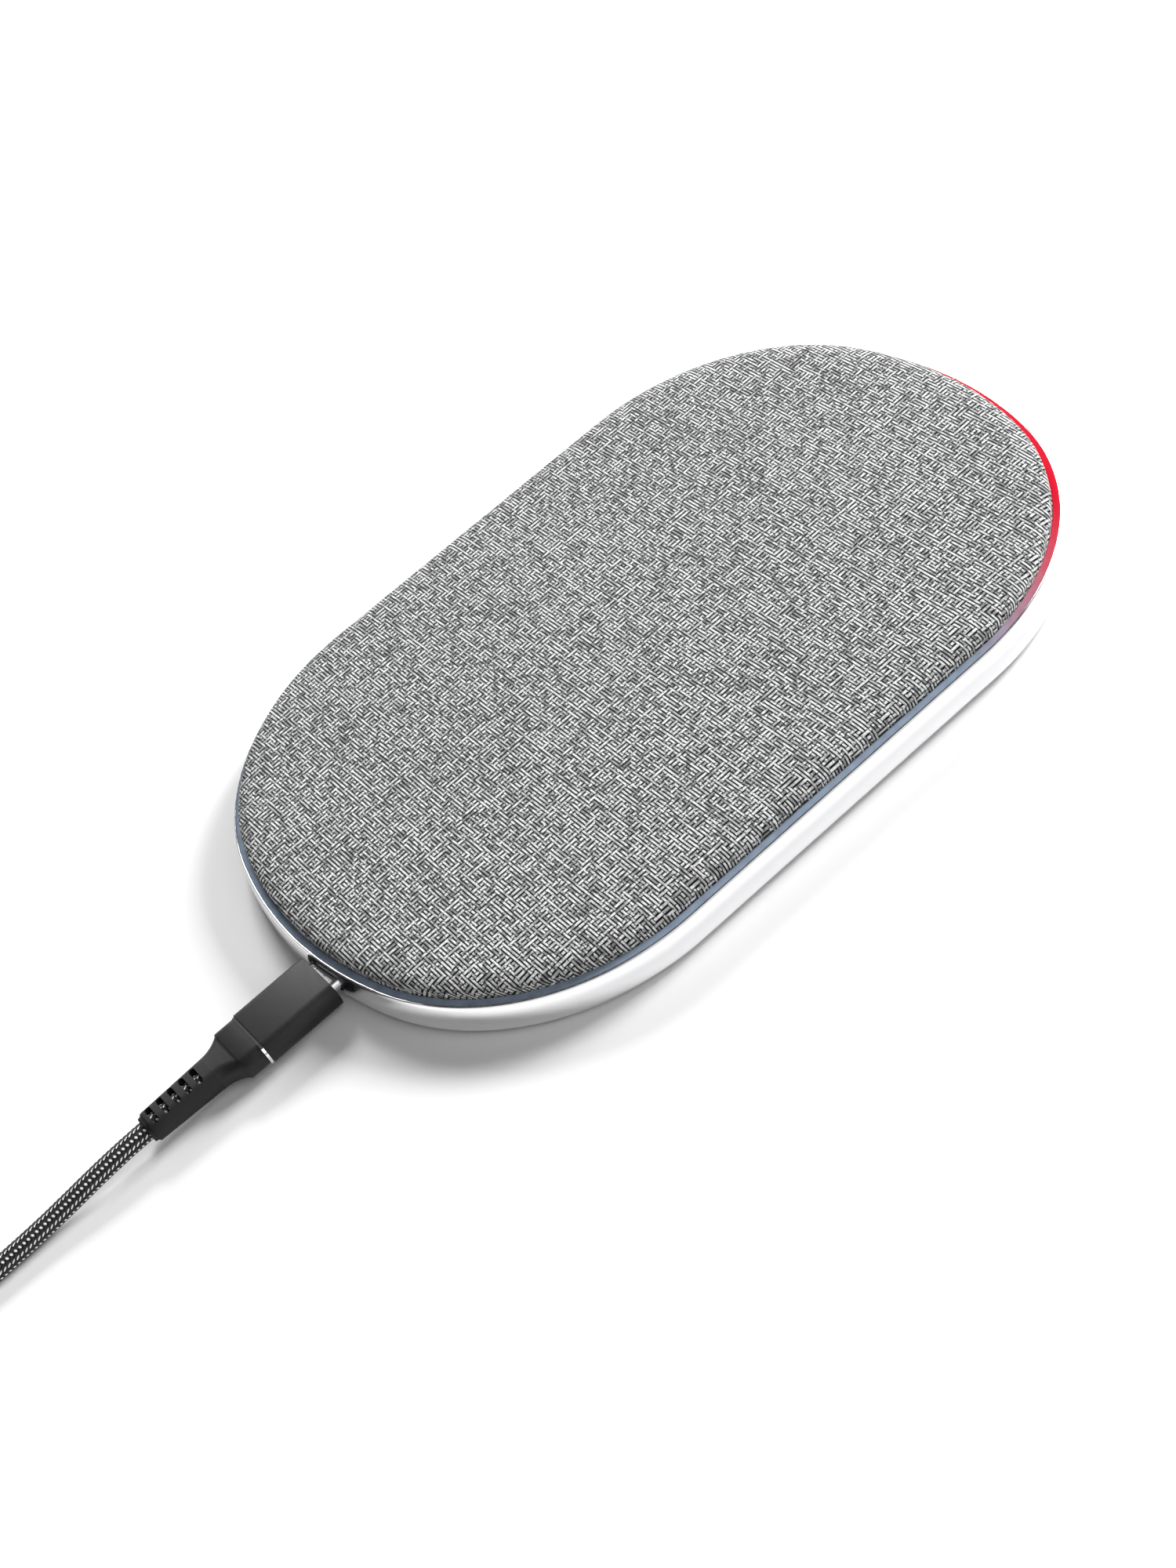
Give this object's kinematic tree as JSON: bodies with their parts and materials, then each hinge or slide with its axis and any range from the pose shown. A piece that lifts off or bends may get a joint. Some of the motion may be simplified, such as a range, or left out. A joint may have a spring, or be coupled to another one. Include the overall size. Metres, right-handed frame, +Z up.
{
  "type": "wireless charging pad",
  "caption": "Long rounded wireless charging pad with a woven fabric top, a polished metal rim, a light ring round the top and a braided USB cable.",
  "frame": {"origin": "bottom centre of the pad, on the surface that its feet stand on; the cable isn't counted", "axes": "+X along the pad's long axis, away from the cable; +Z up, out of the charging face; +Y across the pad"},
  "size_m": [0.3064, 0.1218, 0.01],
  "materials": {
    "grey_fabric": "plain woven heathered cloth, matte",
    "plate_plastic": "moulded, fine grain",
    "light_diffuser": "translucent, milky, lit red at one end",
    "rim_aluminium": "polished",
    "base_plastic": "moulded, fine grain",
    "foot_rubber": "matte",
    "copper_winding": "enamelled wire",
    "ferrite": "fired ceramic, matte",
    "thermal_sheet": "matte foil",
    "tray_plastic": "moulded",
    "circuit_board": "solder mask, satin",
    "chip_black": "moulded epoxy",
    "capacitor": "ceramic",
    "light_board": "white solder mask",
    "light_lens": "clear lens",
    "plated_steel": "nickel plated",
    "wire_red": "insulated wire",
    "screw_steel": "black zinc",
    "plug_plastic": "soft-touch moulded, brushed sheen",
    "seam_chrome": "polished",
    "relief_rubber": "satin",
    "cord_braid": "braided nylon",
    "tie_strap": "hook and loop strap",
    "tongue_white": "moulded",
    "contact_gold": "gold plated"
  },
  "bodies": {
    "pad": {"fabric_cover": "grey_fabric", "top_plate": "plate_plastic", "light_ring": "light_diffuser", "rim_frame": "rim_aluminium", "base_plate": "base_plastic", "foot_front_left": "foot_rubber", "foot_front_right": "foot_rubber", "foot_rear_left": "foot_rubber", "foot_rear_right": "foot_rubber", "coil_left": "copper_winding", "coil_right": "copper_winding", "ferrite_left": "ferrite", "ferrite_right": "ferrite", "thermal_sheet_left": "thermal_sheet", "thermal_sheet_right": "thermal_sheet", "coil_tray_left": "tray_plastic", "coil_tray_right": "tray_plastic", "coil_leads_left": "copper_winding", "coil_leads_right": "copper_winding", "coil_sensors": "chip_black", "main_board": "circuit_board", "charge_controllers": "chip_black", "power_drivers": "chip_black", "power_inductors": "ferrite", "tuning_capacitors": "capacitor", "light_board_left": "light_board", "light_board_right": "light_board", "lights_left": "light_lens", "lights_right": "light_lens", "usb_board": "circuit_board", "usb_socket_shell": "plated_steel", "usb_socket_tongue": "chip_black", "power_wires": "wire_red", "case_screws": "screw_steel", "board_screws": "screw_steel"},
    "cable": {"usb_c_shell": "plated_steel", "usb_c_housing": "plug_plastic", "usb_c_seam_ring": "seam_chrome", "usb_c_rear_housing": "plug_plastic", "strain_relief": "relief_rubber", "cord": "cord_braid", "cord_coil": "cord_braid", "cord_tie": "tie_strap", "cord_tail": "cord_braid", "usb_a_relief": "relief_rubber", "usb_a_housing": "plug_plastic", "usb_a_shell": "plated_steel", "usb_a_tongue": "tongue_white", "usb_a_contacts": "contact_gold"}
  },
  "joints": [
    {"name": "cable_unplug", "type": "slide", "parent": "pad", "child": "cable", "axis": [-1, 0, 0], "range_m": [0, 0.01]}
  ]
}
